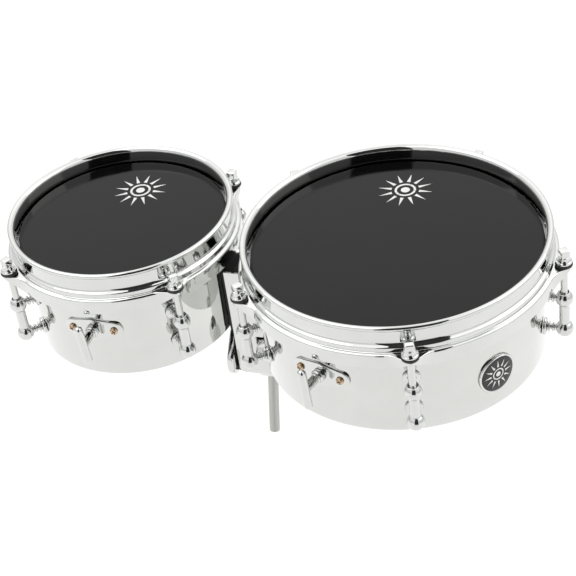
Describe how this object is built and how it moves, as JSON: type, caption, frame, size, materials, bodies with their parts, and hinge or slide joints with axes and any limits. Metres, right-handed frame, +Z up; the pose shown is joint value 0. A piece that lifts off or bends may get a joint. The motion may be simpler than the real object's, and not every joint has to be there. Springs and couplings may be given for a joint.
{
  "type": "mini timbales",
  "caption": "Pair of small round open-bottomed metal drums with tension rods, joined by a centre bracket that tilts on a short vertical support rod.",
  "frame": {"origin": "centre of the support rod's lower end", "axes": "+Z up the support rod; +X from the small drum to the large drum; -Y towards the player"},
  "size_m": [0.416, 0.241, 0.2172],
  "materials": {
    "shell_chrome": "mirror",
    "fitting_chrome": "mirror",
    "drum_film": "smooth satin film, nearly black",
    "rod_washer_rubber": "matt black",
    "block_rubber": "matt black",
    "screw_brass": "polished",
    "rod_steel": "satin",
    "flesh_hoop_alloy": "satin",
    "badge_black": "gloss black in a polished rim",
    "fastener_steel": "satin"
  },
  "bodies": {
    "post": {"support_rod": "rod_steel", "tilt_rod_head": "fitting_chrome", "tilt_nut": "fastener_steel"},
    "drum_pair": {"bracket_block": "block_rubber", "bracket_front_plate": "fitting_chrome", "bracket_back_plate": "fitting_chrome", "bracket_tie_screw_1": "fastener_steel", "bracket_tie_screw_2": "fastener_steel", "large_shell": "shell_chrome", "large_head": "drum_film", "large_flesh_hoop": "flesh_hoop_alloy", "large_hoop": "fitting_chrome", "large_lug_1": "fitting_chrome", "large_lug_2": "fitting_chrome", "large_lug_3": "fitting_chrome", "large_lug_4": "fitting_chrome", "large_lug_5": "fitting_chrome", "large_clamp_plate": "fitting_chrome", "large_clamp_screw_1": "screw_brass", "large_clamp_screw_2": "screw_brass", "large_mount_bolt_1": "fastener_steel", "large_mount_bolt_2": "fastener_steel", "small_shell": "shell_chrome", "small_head": "drum_film", "small_flesh_hoop": "flesh_hoop_alloy", "small_hoop": "fitting_chrome", "small_lug_1": "fitting_chrome", "small_lug_2": "fitting_chrome", "small_lug_3": "fitting_chrome", "small_lug_4": "fitting_chrome", "small_clamp_plate": "fitting_chrome", "small_clamp_screw_1": "screw_brass", "small_clamp_screw_2": "screw_brass", "small_mount_bolt_1": "fastener_steel", "small_mount_bolt_2": "fastener_steel", "large_badge": "badge_black"},
    "tilt_clamp": {"tilt_thumb_plate": "fitting_chrome", "tilt_bolt": "fastener_steel"},
    "large_rod_1": {"large_tension_rod_1": "fitting_chrome", "large_rod_washer_1": "rod_washer_rubber"},
    "large_rod_2": {"large_tension_rod_2": "fitting_chrome", "large_rod_washer_2": "rod_washer_rubber"},
    "large_rod_3": {"large_tension_rod_3": "fitting_chrome", "large_rod_washer_3": "rod_washer_rubber"},
    "large_rod_4": {"large_tension_rod_4": "fitting_chrome", "large_rod_washer_4": "rod_washer_rubber"},
    "large_rod_5": {"large_tension_rod_5": "fitting_chrome", "large_rod_washer_5": "rod_washer_rubber"},
    "large_handle": {"large_clamp_handle": "fitting_chrome"},
    "large_eye": {"large_clamp_eye": "fastener_steel"},
    "small_rod_1": {"small_tension_rod_1": "fitting_chrome", "small_rod_washer_1": "rod_washer_rubber"},
    "small_rod_2": {"small_tension_rod_2": "fitting_chrome", "small_rod_washer_2": "rod_washer_rubber"},
    "small_rod_3": {"small_tension_rod_3": "fitting_chrome", "small_rod_washer_3": "rod_washer_rubber"},
    "small_rod_4": {"small_tension_rod_4": "fitting_chrome", "small_rod_washer_4": "rod_washer_rubber"},
    "small_handle": {"small_clamp_handle": "fitting_chrome"},
    "small_eye": {"small_clamp_eye": "fastener_steel"}
  },
  "joints": [
    {"name": "pair_tilt", "type": "hinge", "parent": "post", "child": "drum_pair", "pos_m": [0, 0, 0.0684], "axis": [1, 0, 0], "range_deg": [-47, 72]},
    {"name": "tilt_clamp_turn", "type": "hinge", "parent": "drum_pair", "child": "tilt_clamp", "pos_m": [-0.0265, 0, 0.0684], "axis": [1, 0, 0], "continuous": true},
    {"name": "large_rod_turn_1", "type": "hinge", "parent": "drum_pair", "child": "large_rod_1", "pos_m": [0.01111, -0.09581, 0.14613], "axis": [0, -0.2974, 0.9548], "continuous": true},
    {"name": "large_rod_turn_2", "type": "hinge", "parent": "drum_pair", "child": "large_rod_2", "pos_m": [0.14114, -0.13614, 0.13356], "axis": [0, -0.2974, 0.9548], "continuous": true},
    {"name": "large_rod_turn_3", "type": "hinge", "parent": "drum_pair", "child": "large_rod_3", "pos_m": [0.2215, -0.03054, 0.16645], "axis": [0, -0.2974, 0.9548], "continuous": true},
    {"name": "large_rod_turn_4", "type": "hinge", "parent": "drum_pair", "child": "large_rod_4", "pos_m": [0.14114, 0.07506, 0.19935], "axis": [0, -0.2974, 0.9548], "continuous": true},
    {"name": "large_rod_turn_5", "type": "hinge", "parent": "drum_pair", "child": "large_rod_5", "pos_m": [0.01111, 0.03473, 0.18678], "axis": [0, -0.2974, 0.9548], "continuous": true},
    {"name": "large_handle_turn", "type": "hinge", "parent": "drum_pair", "child": "large_handle", "pos_m": [0.07226, -0.11755, 0.10489], "axis": [0.309, 0.908, 0.2828], "range_deg": [0, 727]},
    {"name": "large_eye_draw", "type": "slide", "parent": "drum_pair", "child": "large_eye", "axis": [-0.309, -0.908, -0.2828], "range_m": [0, 0.002]},
    {"name": "small_rod_turn_1", "type": "hinge", "parent": "drum_pair", "child": "small_rod_1", "pos_m": [-0.16608, -0.09191, 0.14734], "axis": [0, -0.2974, 0.9548], "continuous": true},
    {"name": "small_rod_turn_2", "type": "hinge", "parent": "drum_pair", "child": "small_rod_2", "pos_m": [-0.03752, -0.09191, 0.14734], "axis": [0, -0.2974, 0.9548], "continuous": true},
    {"name": "small_rod_turn_3", "type": "hinge", "parent": "drum_pair", "child": "small_rod_3", "pos_m": [-0.03752, 0.03083, 0.18557], "axis": [0, -0.2974, 0.9548], "continuous": true},
    {"name": "small_rod_turn_4", "type": "hinge", "parent": "drum_pair", "child": "small_rod_4", "pos_m": [-0.16608, 0.03083, 0.18557], "axis": [0, -0.2974, 0.9548], "continuous": true},
    {"name": "small_handle_turn", "type": "hinge", "parent": "drum_pair", "child": "small_handle", "pos_m": [-0.1018, -0.09828, 0.11089], "axis": [0, 0.9548, 0.2974], "range_deg": [0, 727]},
    {"name": "small_eye_draw", "type": "slide", "parent": "drum_pair", "child": "small_eye", "axis": [0, -0.9548, -0.2974], "range_m": [0, 0.002]}
  ],
  "couplings": [
    {"joint": "large_handle_turn", "follows": "large_eye_draw", "rad_per_m": 6283.2},
    {"joint": "small_handle_turn", "follows": "small_eye_draw", "rad_per_m": 6283.2}
  ]
}
